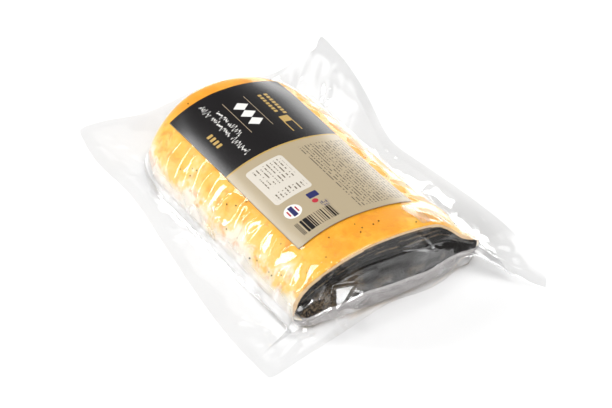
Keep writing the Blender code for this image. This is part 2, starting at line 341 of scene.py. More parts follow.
def joinSheets(name, sheets, sharpAngle=180, closeEdge=False):
    # Welds sheets that meet edge to edge; an open edge that is left can be closed with one face
    bpy.ops.object.select_all(action="DESELECT")
    for sheet in sheets:
        sheet.select_set(True)
    bpy.context.view_layer.objects.active = sheets[0]
    bpy.ops.object.join()
    whole = bpy.context.object
    whole.name = whole.data.name = name
    bpy.ops.object.mode_set(mode="EDIT")
    bpy.ops.mesh.select_mode(type="EDGE")
    bpy.ops.mesh.select_all(action="SELECT")
    bpy.ops.mesh.remove_doubles(threshold=weldDistance)
    if closeEdge:
        bpy.ops.mesh.select_all(action="DESELECT")
        bpy.ops.mesh.select_non_manifold()
        bpy.ops.mesh.edge_face_add()
    bpy.ops.mesh.select_all(action="SELECT")
    bpy.ops.mesh.normals_make_consistent(inside=False)
    bpy.ops.object.mode_set(mode="OBJECT")
    bpy.ops.object.shade_smooth_by_angle(angle=math.radians(sharpAngle))
    return whole


# The clear film, in millimetres about the label's middle
film = {
    "bodyRows": 180,
    "endRows": 56,
    "columns": 140,
    "marginRings": 26,
    "rimEdgeShare": 0.88,
    "cornerRounding": 75,
    "edgeGap": 0.12,
    "footGap": 0.6,
    "creaseDepth": 0.8,
    "skinGap": 0.3,
    "foldPitch": 9.5,
    "foldHeight": 1.9,
    "lowest": 0.25,
    "seamWidth": 8,
    # How many faces of film mirror the light: in the margin, where it stands off the table, and in its folds
    "marginFaces": (0.5, 1.2),
    "raisedFaces": 2.4,
    "shoulderFaces": 5,
    "gatheredFaces": 12,
    "weldFaces": 6,
    # Smooth places between the folds of the left side: along the roll, up from its foot, half sizes, slant
    "smoothPlaces": [(-2, 25, 3.4, 12, 0.1), (6, 23, 1.5, 5, 0.0), (22, 26, 2.2, 9, -0.25),
                     (36, 27, 3.0, 6, 0.3), (53, 25, 3.6, 6, -0.3), (71, 26, 6.0, 8, 0.35),
                     (86, 25, 4.0, 7, -0.5), (-35, 24, 1.4, 4, 0.3), (-58, 33, 2.0, 1.6, 0.0),
                     (10, 9, 2.4, 5, 0.1), (40, 33, 1.6, 3, 0.5)],
    # The flat place on the cut end: a point of it, its facing, and its corners across the roll and up
    "flatPlace": ((105.6, -28, 19), (0.9, -0.18, 0.4), [(-33, 23.5), (-36.5, 10), (-28, 15), (-18.5, 23.2)]),
    # Pinched folds of the cut end, from point to point: height, width and how many faces lie in them
    "endFolds": [((99, -54.5, 15.5), (99, -42.6, 20.4), 1.2, 1.2, 14),
                 ((99, -42.6, 20.4), (99.6, -36.7, 27), 1.6, 1.5, 18),
                 ((99.6, -36.7, 27), (100, -29, 39.5), 1.6, 0.9, 14),
                 ((100.4, 25.2, 39.6), (101.3, 38.4, 20.6), 1.0, 0.7, 10),
                 ((101, 15.6, 29.8), (101.3, 38.4, 20.6), 0.6, 0.8, 10),
                 ((101.3, 38.4, 20.6), (97, 52, 21), 0.8, 0.8, 6),
                 ((85, -40, 37), (101, -29, 38.6), 0.9, 0.9, 2),
                 ((88, -52, 24), (97, -49, 22), 0.9, 0.9, 2)],
    # The margin's outer edge, side by side, round the bag
    "leftEdge": [(-140, -66.5, 0), (-103, -73.5, 0), (-61, -72.5, 0.4), (-2, -81, 0), (45, -88, 0.6),
                 (86, -91.5, 0), (127, -91, 0)],
    "cutEndEdge": [(127, -91, 0), (125.5, -74, 4), (123, -50, 6.5), (124, -30, 13), (124, -8, 19),
                   (124, 14, 15.5), (122.5, 31, 16), (117.5, 45, 19), (113, 56, 20), (119, 65, 14),
                   (130, 73.5, 6), (145.5, 85, 0)],
    "rightEdge": [(-119, 100, 22.5), (-83, 98, 19.5), (-56, 95.5, 11), (-37, 93, 1.5), (-21, 90.5, 0),
                  (16, 94.5, 1.2), (66, 95.5, 6.5), (105, 95.5, 8), (119, 95, 3), (136, 92.5, 0),
                  (145.5, 85, 0)],
    "roundEndEdge": [(-140, -66.5, 0), (-137, -46, 1), (-130, -25, 0.8), (-130.5, -2, 3), (-130, 24, 5),
                     (-126, 48, 3), (-119, 67, 4), (-117.5, 81, 11.5), (-118.5, 93, 18.5), (-119, 100, 22.5)],
}


def alongCurve(points, shares):
    # Places at those shares of the way, by length, along a smooth curve through points in mm
    p = np.array(points, float) * mm
    lengths = np.insert(np.cumsum(np.linalg.norm(np.diff(p, axis=0), axis=1)), 0, 0)
    want = np.asarray(shares) * lengths[-1]
    k = np.clip(np.searchsorted(lengths, want + 1e-12, side="right") - 1, 0, len(p) - 2)
    t = ((want - lengths[k]) / (lengths[k + 1] - lengths[k]))[:, None]
    before, start, end, after = p[np.maximum(k - 1, 0)], p[k], p[k + 1], p[np.minimum(k + 2, len(p) - 1)]
    return 0.5 * (2 * start + (end - before) * t + (2 * before - 5 * start + 4 * end - after) * t * t
                  + (3 * start - before - 3 * end + after) * t**3)


def roundedLine(points, passes):
    for _ in range(passes):
        points = mix(points, (np.roll(points, 1, 0) + np.roll(points, -1, 0)) / 2, 0.5)
    return points


def rollSheet(rows, columns):
    # The skin from the round end to the rim as [row, column] grids of x and angle
    share = np.linspace(0, 1, rows + 1)
    eased = mix(share, share**1.6, 0.55)[:, None]
    angle = np.linspace(-math.pi / 2, math.pi / 2, columns + 1)[None, :]
    across = np.sin(angle)
    return mix(roundX(across), rimX(across), eased), angle + 0 * eased


def sideFolds(place, up, side):
    # Folds of the film that run down the roll's side: place runs along the foot, up from it
    lane = place / film["foldPitch"] + softNoise(place / 24, up / 30, 3 + side)
    lane = lane + 0.28 * softNoise(place / 7, up / 10, 9 + side)
    k = np.floor(lane).astype(int)
    heights = []
    for step in (0, 1):
        chance = randomTable[(k + step + 19 * side) % 64, 7 + side, 0]
        crest = ((k + step) % 2) * (0.55 + 0.9 * chance) + 0.25 * chance
        heights.append(crest * (0.75 + 0.45 * softNoise((k + step) * 0.83, up / 12, 5 + side)))
    t = lane - k
    sharp = np.where(k % 2 == 0, t**1.15, 1 - (1 - t) ** 1.15)  # crests sharper than valleys
    return film["foldHeight"] * mix(heights[0], heights[1], sharp)


def foldDistance(points, start, finish):
    way = np.subtract(finish, start)
    share = np.clip((points - start) @ way / (way @ way), 0, 1)
    return np.linalg.norm(points - start - share[..., None] * way, axis=-1)


def smoothed(folds, x, up):
    # The smooth places lean towards the left softbox, far enough to mirror it
    smooth, leaning = 0 * folds, 0 * folds
    for place, rise, halfLength, halfHeight, slant in film["smoothPlaces"]:
        a = (x - place - slant * (up - rise)) / halfLength + 0.35 * softNoise(up / 3.5, x / 9, 2)
        b = (up - rise) / halfHeight
        mask = smoothStep((1.35 - np.sqrt(a * a + b * b)) / 0.5)
        lean = 0.047 + 0.0003 * place
        leaning = np.where(mask > smooth, 0.9 + lean * (x - place), leaning)
        smooth = np.maximum(smooth, mask)
    return mix(folds, leaning, smooth)


def flattened(points):
    # Moves what lies inside the flat place's corners onto its plane
    place, facing, corners = film["flatPlace"]
    facing = np.array(facing) / np.linalg.norm(facing)
    inside = np.ones(points.shape[:2])
    for (y0, z0), (y1, z1) in zip(corners, corners[1:] + corners[:1]):
        way = np.array([y1 - y0, z1 - z0]) / math.hypot(y1 - y0, z1 - z0)
        inside = np.minimum(inside, (points[..., 2] - z0) * way[0] - (points[..., 1] - y0) * way[1])
    hold = smoothStep(inside / 0.9 + 0.5) * (points[..., 0] > 90)
    return points - facing * ((points - place) @ facing * hold)[..., None]


def filmTop():
    # The film over the food, from the round end to the cut end's rim and down to its foot
    along, angle = rollSheet(film["bodyRows"], film["columns"])
    down = np.linspace(0, 1, film["endRows"] + 1)[1:, None]
    end = endPoint(down, angle[:1], film["creaseDepth"] * mm)
    points = np.concatenate([skinPoint(along, angle), end]) / mm
    normals = normalsOf(points)
    rows, columns = points.shape[:2]
    onLeft = np.sin(angle[:1]) < 0
    onEnd, shareDown = np.zeros((rows, 1)), np.zeros((rows, 1))
    onEnd[film["bodyRows"] + 1:] = 1
    shareDown[film["bodyRows"] + 1:] = down
    x, y, z = np.moveaxis(points, -1, 0)
    girth = lengthsAlong(points, 1)
    up = np.where(onLeft, girth, girth[:, -1:] - girth)
    fromTop = np.abs(girth - girth[:, [columns // 2]])
    # The sides are folded, the top has shallow bowls, and near the label the film is drawn flat
    strength = 0.72 + 0.4 * softNoise(x / 26, up / 18, 9)
    calm = mix(0.3, 1, smoothStep((x + 74) / 18))
    left = smoothed(sideFolds(x + 0.12 * up, up, 0) * strength * calm, x, up)
    right = sideFolds(x + 0.5 * up, up, 1) * strength * 0.9
    warp = softNoise(x / 20, girth / 20, 2)
    top = 0.35 * bowls(x / 18 + warp, girth / 15 - warp, 8)
    nearLabel = smoothStep((43.5 - fromTop) / 4) * smoothStep((82 - np.abs(x)) / 8)
    height = mix(np.where(onLeft, left, right), top, smoothStep((39 - fromTop) / 6)) * (1 - nearLabel)
    # The round end: lower folds that run over it
    height = height * mix(1, 0.55, smoothStep((-82 - x) / 8))
    # On the cut end the film is drawn smooth over the layers, with small folds on the tongue
    small = bowls(y / 8 + 0.7 * softNoise(y / 7, z / 5, 6), z / 9, 3)
    endHeight = 0.7 * small * (0.1 + 0.9 * smoothStep((shareDown - 0.55) / 0.15))
    height = mix(height, endHeight, onEnd)
    # Nothing moves at the edges, where the margin starts
    rowFade = np.ones(rows)
    rowFade[:8] = smoothStep(np.arange(8) / 7)
    rowFade[-6:] = smoothStep(np.arange(6) / 5)[::-1]
    height = height * smoothStep(up / 4) * rowFade[:, None]
    for start, finish, tall, wide, _ in film["endFolds"]:
        height = height + tall * np.exp(-((foldDistance(points, start, finish) / wide) ** 1.5))
    return flattened(points + normals * (film["skinGap"] + height)[..., None]) * mm


def filmContour(top):
    columns = film["columns"]
    loop = [top[-1, :columns], top[:0:-1, columns], top[0, :0:-1], top[:-1, 0]]
    rows = top.shape[0] - 1
    middle = top[:, columns // 2, 0]
    body = film["bodyRows"]
    share = film["rimEdgeShare"] * (middle[:body + 1] - middle[0]) / (middle[body] - middle[0])
    share = np.concatenate([share, np.linspace(film["rimEdgeShare"], 1, rows - body + 1)[1:]])
    across = np.arange(columns + 1) / columns
    outer = [alongCurve(film["cutEndEdge"], across[:columns]), alongCurve(film["rightEdge"], share[:0:-1]),
             alongCurve(film["roundEndEdge"], across[:0:-1]), alongCurve(film["leftEdge"], share[:-1])]
    return np.concatenate(loop), roundedLine(np.concatenate(outer), film["cornerRounding"])


def marginSheets(inner, outer):
    # The sealed margin: steep beside the roll, then lying nearly flat, with folds that fade to a smooth seam
    inner = np.concatenate([inner, inner[:1]]) / mm
    outer = np.concatenate([outer, outer[:1]]) / mm
    step = np.linspace(0, 1, film["marginRings"] + 1)[:, None]
    out = 0.55 * step + 0.45 * step**2
    x, y, _ = np.moveaxis(mix(inner, outer, out[..., None]), -1, 0)
    whole = np.linalg.norm(outer - inner, axis=1)
    reach = whole * out
    # On the left the film drops at once, elsewhere it slopes
    leftSide = smoothStep((-inner[:, 1] - 30) / 20) * (inner[:, 0] < 98)
    rightSide = smoothStep((inner[:, 1] - 30) / 20)
    drop = mix(smoothStep(reach / 3), 1, smoothStep(out * 4))
    z = mix(inner[:, 2], outer[:, 2] + 0.3, mix(1 - (1 - out) ** 2.1, drop, leftSide))
    # Regions of the margin, and the folds that each has
    farRight = smoothStep((y - 40) / 20) * smoothStep((-x - 20) / 40)
    tail = smoothStep((y - 40) / 15) * smoothStep((x - 40) / 30)
    nearEnd = smoothStep((x - 100) / 8)
    nearCorner = np.exp(-(((x - 100) / 32) ** 2) - ((y + 62) / 24) ** 2)
    patches = smoothStep(softNoise(x / 20, y / 14, 16) / 0.5 + 0.5)
    warp = softNoise(x / 18, y / 18, 7)
    crumple = bowls(x / 14 + 0.8 * warp, y / 14 - 0.8 * warp, 2)
    large = bowls(x / 22 + 0.5 * warp, y / 17 + 0.4 * warp, 6)
    spokes = bowls(lengthsAlong(inner, 0) / 6 + 0.8 * warp, reach / 34, 4)
    streaks = bowls((x - 1.3 * y) / 34, (x + 1.1 * y) / 8 + 0.6 * warp, 9)
    fine = bowls((x + 0.4 * y) / 9 + 0.7 * warp, (y - 0.4 * x) / 6 - 0.5 * warp, 15)
    drawn = softNoise((x - 1.2 * y) / 40, (x + 1.1 * y) / 11 + 0.6 * warp, 14)
    drawn = drawn + 0.4 * softNoise((x - 1.2 * y) / 26, (x + 1.1 * y) / 5 + warp, 10)
    plain = 0.3 * crumple + spokes * (1 - out) * (0.04 + 1.2 * nearCorner) + 0.8 * fine * patches
    lift = mix(plain, 0.9 * drawn, rightSide) + 0.4 * softNoise(x / 26, y / 26, 12)
    lift = lift + 2.2 * large * farRight + 0.9 * streaks * tail + crumple * nearEnd
    inward = smoothStep((whole - reach - 6) / 8)
    start = mix(0.06, 0.4, np.maximum(rightSide, leftSide) * (x < 95))
    z = np.maximum(z + lift * inward * smoothStep(out / start), film["lowest"])
    z[:, -1] = z[:, 0]
    gap = mix(film["footGap"], film["edgeGap"], smoothStep(out * 3)) * smoothStep((1 - out) / 0.03)
    upper = np.stack([x, y, z], -1)
    lower = np.stack([x, y, np.maximum(z - gap, 0.06)], -1)
    upper[0] = inner
    lower[0, :, 2] = inner[:, 2] - film["footGap"]
    return upper * mm, lower * mm


def undersideSheet(foot):
    # From the foot of the film, rounding down under the roll to the flat base
    steps = [(0, 1), (0.1, 0.72), (0.22, 0.45), (0.38, 0.25), (0.55, 0.12), (0.75, 0.04), (1, 0.0)]
    ahead, behind = np.roll(foot[:-1], -1, 0), np.roll(foot[:-1], 1, 0)
    way = ahead - behind
    inward = np.stack([-way[:, 1], way[:, 0], 0 * way[:, 0]], 1)
    inward /= np.linalg.norm(inward, axis=1, keepdims=True)
    inward = roundedLine(inward, 12)
    rings = []
    for share, height in steps:
        ring = foot[:-1] + inward * roll["undersideRounding"] * share
        ring[:, 2] = np.maximum(foot[:-1, 2] * height, 0.05 * mm)
        rings.append(np.concatenate([ring, ring[:1]]))
    return np.stack(rings)


def clearFilm():
    # Clear and very glossy, so it shows by its reflections: those of one face where it clings to the food,
    # of both sheets in the margin, and of more where it is crumpled into several layers
    material, add = newMaterial("clear vacuum bag film")
    loose = add("Attribute", attribute_name="looseFaces").outputs["Fac"]
    face = add("Math", {0: loose, 1: 0.036, 2: 0.025}, "MULTIPLY_ADD")
    weight = add("LayerWeight", {"Blend": 0.5})
    grazing = add("Math", {0: weight.outputs["Facing"], 1: 5.0}, "POWER")
    mirror = add("Math", {0: grazing, 1: 0.6, 2: face}, "MULTIPLY_ADD")
    through = add("BsdfTransparent", {"Color": hexColour("FEFEFE")})
    haze = add("Math", {0: loose, 1: 0.03, 2: 0.035}, "MULTIPLY_ADD")
    gloss = add("BsdfGlossy", {"Color": hexColour("FFFFFF"), "Roughness": haze})
    both = add("MixShader", {0: mirror, 1: through.outputs[0], 2: gloss.outputs[0]})
    return finishMaterial(material, both)


def mirroringFaces(places, seamLine):
    # How many loose faces of film mirror the light at each place; none where it clings to the food
    x, y, z = places.T
    across = np.clip(y * mm / halfWidth(x * mm, y), -1.2, 1.2)
    foot = footHeight(y * mm) / mm
    fromRim = x - rimX(across) / mm
    onRoll = (np.abs(across) < 1.03) & (x > roundX(across) / mm - 1) & (x < 112)
    onEnd = (fromRim > 0.4) & (z > 26)
    onTop = (x < 100) & (np.abs(across) < 0.72)
    clings = onRoll & (z > np.where(x > 99, foot, 8) + 0.5) & (onEnd | onTop)
    faces = (1.0 - clings) * np.where(onRoll & (across < -0.6), 0.4, 1)
    # The right shoulder is crumpled into several layers
    streak = softNoise(x / 30, across * 17 + x / 40, 5) + 0.5 * softNoise(x / 12, across * 40, 6)
    shoulder = smoothStep((across - 0.7 + 0.3 * smoothStep((x - 73) / 6)) / 0.04)
    shoulder = shoulder * onRoll * (x > -80) * (fromRim < -1.5)
    faces = mix(faces, film["shoulderFaces"] + 4.5 * np.clip(1.4 * streak + 0.2, -1, 1), shoulder)
    for start, finish, _, wide, layers in film["endFolds"]:
        faces = np.maximum(faces, layers * np.exp(-((foldDistance(places, start, finish) / wide) ** 4)))
    # Smears of haze over the tongue
    tongue = (x > 99) * (z < 27) * (np.abs(across) < 0.9)
    smears = softNoise(y / 15, z / 3 + y / 30, 13) + 0.6 * softNoise(y / 5, z / 2, 15)
    faces = faces + tongue * np.clip(1.1 * smears + 0.6 * across + 0.7, -0.6, 2.8)
    # In the margin the two sheets cling together in places; along the seam they don't
    seam = KDTree(len(seamLine))
    for k, corner in enumerate(seamLine):
        seam.insert(corner, k)
    seam.balance()
    toSeam = np.array([seam.find(place)[2] for place in places])
    zone = softNoise(x / 34, y / 22, 18) + 0.5 * softNoise(x / 12, y / 9, 19)
    zone = np.maximum(smoothStep(zone / 0.14 + 0.5), smoothStep((film["seamWidth"] - toSeam) / 1.2))
    raised = smoothStep((z - 2) / 9) * np.where(x > 95, 0.5, 1) * (y > -40) * mix(0.3, 1, zone)
    faces = np.where(onRoll, faces, mix(*film["marginFaces"], zone) + film["raisedFaces"] * raised)
    # Creases of the film below the cut end, hazier towards its right tip
    flange = (x > 97) * (z < foot) * (np.abs(across) < 1.05)
    creases = softNoise(y / 3.5 + z / 6, z / 9, 20)
    hazier = smoothStep((y - 30) / 20) * (5 + 4 * creases)
    faces = faces + flange * (4 * np.clip(creases - 0.1, 0, 1) + hazier)
    # Film gathered along the roll's left foot
    gathered = np.exp(-(((across + 1.035) / 0.05) ** 4)) * (x > -88) * (x < 104)
    gathered = gathered * smoothStep((z - 0.8) / 1.5) * (1 + 0.4 * softNoise(x / 9, across * 30, 11))
    faces = faces + film["gatheredFaces"] * gathered
    # The two sheets are welded along the foot of the cut end
    weld = np.exp(-(((z - foot - 1.3) / 0.6) ** 2)) * (x >= 99) * (np.abs(across) < 0.95)
    return np.maximum(faces, film["weldFaces"] * weld)


def buildFilm():
    top = filmTop()
    inner, outer = filmContour(top)
    upper, lower = marginSheets(inner, outer)
    sheets = [addSheet(part) for part in (top, upper, lower, undersideSheet(lower[0]))]
    bag = joinSheets("film", sheets, sharpAngle=125, closeEdge=True)
    faces = mirroringFaces((vertexPlaces(bag) - rollPlace) / mm, outer / mm)
    attribute = bag.data.attributes.new("looseFaces", "FLOAT", "POINT")
    attribute.data.foreach_set("value", faces)
    bag.data.materials.append(clearFilm())
    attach(bag, "root")
    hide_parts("bag")
    print("scene: film,", len(bag.data.polygons), "faces")


# The crust
crust = {
    "bodyRows": 150,
    "columns": 150,
    "endRows": 40,
    "underFilm": 0.3 * mm,
    "thickness": 2.8 * mm,
    "pocketDepth": 12 * mm,
    "colours": [(0.0, "F2EADE"), (0.28, "F3E8D2"), (0.44, "F2CB70"), (0.7, "F2B634"), (1.0, "EC9C16")],
}


def goldenCrust():
    # Yeast dough crust glazed with egg: orange gold on top, mottled with yellow, pale cream at the foot
    material, add = newMaterial("egg glazed bread crust")
    place = add("TexCoord").outputs["Object"]
    parts = add("SeparateXYZ", {0: place})
    mottle = add("TexNoise", {"Vector": place, "Scale": 55.0, "Detail": 5.0, "Roughness": 0.62})
    height = add("MapRange", {0: parts.outputs[2], 1: 5 * mm, 2: 46 * mm, 3: 0.0, 4: 1.0})
    shift = add("MapRange", {0: mottle, 1: 0.3, 2: 0.7, 3: -0.26, 4: 0.26})
    farEnd = add("MapRange", {0: parts.outputs[0], 1: -84 * mm, 2: -98 * mm, 3: 0.0, 4: 0.5})
    higher = add("Math", {0: height, 1: farEnd}, "ADD")
    level = add("Math", {0: higher, 1: shift}, "ADD")
    ramp = add("ValToRGB", {0: level})
    fillRamp(ramp, [(position, hexColour(colour)) for position, colour in crust["colours"]])
    blush = add("TexNoise", {"Vector": place, "Scale": 130.0, "Detail": 4.0, "Distortion": 1.2})
    veins = add("MapRange", {0: blush, 1: 0.53, 2: 0.7, 3: 0.0, 4: 0.65})
    warm = add("Mix", {0: veins, 6: ramp, 7: hexColour("E08C22")}, data_type="RGBA")
    grain = add("TexNoise", {"Vector": place, "Scale": 900.0, "Detail": 3.0})
    bump = add("Bump", {"Height": grain, "Strength": 0.3, "Distance": 0.4 * mm})
    shader = add("BsdfPrincipled", {
        "Base Color": warm, "Roughness": 0.5, "Normal": bump,
        "Subsurface Weight": 0.12, "Subsurface Radius": (1.0, 0.5, 0.2), "Subsurface Scale": 3 * mm})
    return finishMaterial(material, shader)


def cutDough():
    # The cut edge of the baked dough, a thin tan band
    return mottledMaterial("cut edge of baked dough", {"Scale": 400.0, "Detail": 4.0}, "C49A6C", "EACFA6",
                           {"Roughness": 0.7}, {"Strength": 0.5, "Distance": 0.5 * mm})


def shadeGreyDough():
    # Painted shade: the foot of the cut end and the crust under it are mottled grey, for the shade beneath
    # the overhanging tongue
    noise = {"Scale": 160.0, "Detail": 5.0, "Roughness": 0.7}
    return mottledMaterial("dough painted grey for shade under the tongue", noise, "7A7472", "C8C4C4",
                           {"Roughness": 0.7})


def buildCrust():
    x, angle = rollSheet(crust["bodyRows"], crust["columns"])
    body = skinPoint(x, angle)
    body = body - normalsOf(body) * crust["underFilm"]
    down = np.linspace(0, 1, crust["endRows"] + 1)[1:, None]
    end = endPoint(down, angle[:1], 3.5 * mm)
    middle = np.cos(angle[:1])
    rim = skinPoint(rimX(np.sin(angle[:1])), angle[:1])
    tall = np.maximum(rim[..., 2] - footHeight(rim[..., 1]), 1 * mm)
    wall = np.clip(crust["thickness"] / tall, 0.02, 0.3)
    pocket = (down > wall) * (down < 1 - 0.4 * wall)
    end[..., 0] -= crust["underFilm"] + crust["pocketDepth"] * pocket * np.minimum(middle * 6, 1)
    top = np.concatenate([body, end])
    columns = crust["columns"]
    contour = np.concatenate([top[-1, :columns], top[:0:-1, columns], top[0, :0:-1], top[:, 0]])
    under = undersideSheet(contour)
    loaf = joinSheets("crust", [addSheet(top), addSheet(under)], closeEdge=True)
    for material in (goldenCrust(), cutDough(), shadeGreyDough()):
        loaf.data.materials.append(material)
    # The cut face is tan dough; the faces at and under the cut end's foot take the grey painted shade
    for face in loaf.data.polygons:
        centre = np.array(face.center) - rollPlace
        across = min(max(centre[1] / halfWidth(centre[0], centre[1]), -1), 1)
        fromRim, overFoot = centre[0] - rimX(across), centre[2] - footHeight(centre[1])
        nearFoot = fromRim > -14 * mm and -3 * mm < overFoot < 2 * mm
        if face.normal.x > 0.3 and fromRim > -2 * mm and centre[2] > 2 * mm:
            face.material_index = 2 if overFoot < 1.6 * mm and fromRim > 1 * mm else 1
        elif nearFoot and face.normal.z > -0.2 and abs(across) < 0.93:
            face.material_index = 2
    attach(loaf, "root")
    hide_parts("bag")
    print("scene: crust,", len(loaf.data.polygons), "faces")


# The poppy seed filling, cut across
filling = {
    "rows": 150,
    "columns": 200,
    "depth": 11 * mm,
    "wall": 2.9 * mm,
    "setBack": 0.9 * mm,
    "layers": 5,
    "grooveDepth": 1.3 * mm,
    "creaseDepth": 9 * mm,
    "seeds": 3200,
    "seedSize": 0.95 * mm,
    "looseSeeds": 75,
}


def fillingFront(down, angle):
    # The cut face: thin layers over a deep crease, and under it a smooth tongue that is pushed out
    across = np.sin(angle)
    plain = endPoint(down, angle, 0.0)
    middle = np.sqrt(np.maximum(1 - across**2, 0))
    waver = 0.035 * softNoise(across * 3.2, down * 2.5, 3) + 0.015 * softNoise(across * 11, down * 4, 6)
    along = np.clip((down + waver * middle) / roll["creaseShare"], 0, 1)
    layer = along * filling["layers"]
    inLayer = layer - np.floor(layer)
    rounded = np.sqrt(np.maximum(1 - (2 * inLayer - 1) ** 4, 0))
    stepBack = 0.9 * mm * softNoise(np.floor(layer) * 1.7 + 3, across * 2.2, 8)
    upper = (down + waver * middle < roll["creaseShare"] - 0.015).astype(float)
    relief = (filling["grooveDepth"] * (rounded - 1) + stepBack) * upper * middle
    crease = -filling["creaseDepth"] * np.exp(-(((down + waver - roll["creaseShare"]) / 0.06) ** 2))
    crease = crease * middle * smoothStep((0.86 - np.abs(across + 0.05)) / 0.2)
    grain = 0.35 * mm * softNoise(across * 60, down * 26, 5)
    grain = grain + 0.2 * mm * softNoise(across * 130, down * 60, 7)
    lower = smoothStep((down - roll["creaseShare"]) / 0.1)
    grain = grain * mix(1, 0.45, lower)
    plain[..., 0] += relief + crease + grain - filling["setBack"]
    return plain, layer, inLayer


def poppyFilling():
    # Ground poppy seed and sugar between thin sheets of dough: nearly black, with grey brown lines
    material, add = newMaterial("ground poppy seed filling")
    place = add("TexCoord").outputs["Object"]
    dough = add("Attribute", attribute_name="doughShare").outputs["Fac"]
    grain = add("TexNoise", {"Vector": place, "Scale": 700.0, "Detail": 4.0, "Roughness": 0.7})
    patches = add("TexNoise", {"Vector": place, "Scale": 110.0, "Detail": 3.0})
    dark = add("Mix", {0: patches, 6: hexColour("080605"), 7: hexColour("1E1710")}, data_type="RGBA")
    speckled = add("Mix", {0: grain, 6: dark, 7: hexColour("2C2823")}, data_type="RGBA", blend_type="OVERLAY")
    colour = add("Mix", {0: dough, 6: speckled, 7: hexColour("7C6C58")}, data_type="RGBA")
    bump = add("Bump", {"Height": grain, "Strength": 0.8, "Distance": 0.5 * mm})
    looks = {"Base Color": colour, "Roughness": 0.6, "Normal": bump, "Specular IOR Level": 0.15}
    return finishMaterial(material, add("BsdfPrincipled", looks))


def poppySeedSkin():
    # Whole poppy seeds: blue grey to black, matt
    return mottledMaterial("poppy seed", {"Scale": 500.0, "Detail": 1.0}, "0F0D0D", "2D2928",
                           {"Roughness": 0.55, "Specular IOR Level": 0.15})


def scatterSeeds(name, places, normals, sizes, seed):
    # One joined mesh of small kidney-like seeds, sunk a third into the surface they lie on
    bpy.ops.mesh.primitive_ico_sphere_add(subdivisions=1, radius=0.5)
    grains = bpy.context.object
    grains.name = grains.data.name = name
    one = vertexPlaces(grains) * (1.0, 0.8, 0.72)
    faces = np.array([list(face.vertices) for face in grains.data.polygons])
    random = np.random.default_rng(seed)
    vertices = []
    for place, normal, size in zip(places, normals, sizes):
        axes = np.linalg.qr(random.normal(size=(3, 3)))[0]
        axes = axes * np.sign(np.linalg.det(axes))
        vertices.append(one @ axes * size + place + normal * size * 0.12)
    vertices = np.concatenate(vertices) + rollPlace
    faces = (faces[None] + len(one) * np.arange(len(places))[:, None, None]).reshape(-1, 3)
    grains.data.clear_geometry()
    grains.data.from_pydata(vertices.tolist(), [], faces.tolist())
    grains.data.update()
    return grains


def placeKeys(places):
    return [tuple(key) for key in np.rint(places / (0.01 * mm)).astype(int)]


def buildFilling():
    across = np.linspace(-0.985, 0.985, filling["columns"] + 1)
    angle = np.arcsin(across)[None, :]
    rim = skinPoint(rimX(across), angle[0])
    tall = rim[:, 2] - footHeight(rim[:, 1])
    wall = np.clip(filling["wall"] / tall, 0.02, 0.3)[None, :]
    share = np.linspace(0, 1, filling["rows"] + 1)[:, None]
    down = mix(wall, 1 - 0.4 * wall, share)
    front, layer, inLayer = fillingFront(down, angle + 0 * down)
    back = front.copy()
    back[..., 0] = (rimX(across) - filling["depth"])[None, :] * np.ones((len(share), 1))
    inner = 1 - 0.02 * smoothStep((np.abs(across) - 0.8) / 0.15)
    back[..., 1] *= inner[None, :]
    cut = joinSheets("filling", [addSheet(front), addSheet(back)] + wallSheets(front, back))
    # Thin sheets of dough show as lighter lines in the grooves' lips
    line = np.exp(-(((inLayer - 0.18) / 0.13) ** 2)) * (down < roll["creaseShare"] - 0.02)
    broken = smoothStep((softNoise(across * 9 + 0 * layer, layer * 2, 4) + 0.45) / 0.5)
    # The left end of the tongue is smeared with dough
    onTongue = smoothStep((down - roll["creaseShare"]) / 0.1)
    smear = smoothStep((-across - 0.5) / 0.2) * onTongue
    patch = smoothStep(softNoise(across * 9 + 2 * down, down * 7, 10) * 1.6 - 0.1) * onTongue
    share = np.maximum(0.8 * line * broken, np.maximum(0.75 * smear, 0.45 * patch))
    # The weld changes the order of the points, so each finds its share by its place
    shares = dict(zip(placeKeys(front.reshape(-1, 3) + rollPlace), share.ravel()))
    values = [shares.get(key, 0.0) for key in placeKeys(vertexPlaces(cut))]
    attribute = cut.data.attributes.new("doughShare", "FLOAT", "POINT")
    attribute.data.foreach_set("value", values)
    cut.data.materials.append(poppyFilling())
    # Whole seeds stand out of the cut face
    random = np.random.default_rng(5)
    rows = random.integers(2, front.shape[0] - 2, filling["seeds"])
    columns = random.integers(2, front.shape[1] - 2, filling["seeds"])
    outward = normalsOf(front)
    outward = outward * np.sign(outward[..., :1] + 1e-9)
    sizes = filling["seedSize"] * random.uniform(0.75, 1.1, filling["seeds"])
    seeds = scatterSeeds("fillingSeeds", front[rows, columns], outward[rows, columns], sizes, 8)
    seeds.data.materials.append(poppySeedSkin())
    # Loose seeds that lie between the crust and the film
    x = random.uniform(roll["roundEndX"] + 15 * mm, roll["cutEndX"] - 4 * mm, filling["looseSeeds"])
    x = np.where(random.random(filling["looseSeeds"]) < 0.4, mix(x, roll["cutEndX"] - 6 * mm, 0.7), x)
    angles = np.radians(random.uniform(-85, 80, filling["looseSeeds"]))
    skin = skinPoint(x, angles)
    outward = np.stack([0 * x, np.sin(angles) * 0.6, np.cos(angles)], -1)
    outward /= np.linalg.norm(outward, axis=1, keepdims=True)
    sizes = filling["seedSize"] * random.uniform(0.85, 1.25, filling["looseSeeds"])
    loose = scatterSeeds("looseSeeds", skin - outward * 0.1 * mm, outward, sizes, 9)
    loose.data.materials.append(poppySeedSkin())
    for piece in (cut, seeds, loose):
        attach(piece, "root")
        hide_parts("bag")
    print("scene: filling,", len(cut.data.polygons), "faces,", len(rows) + len(x), "seeds")


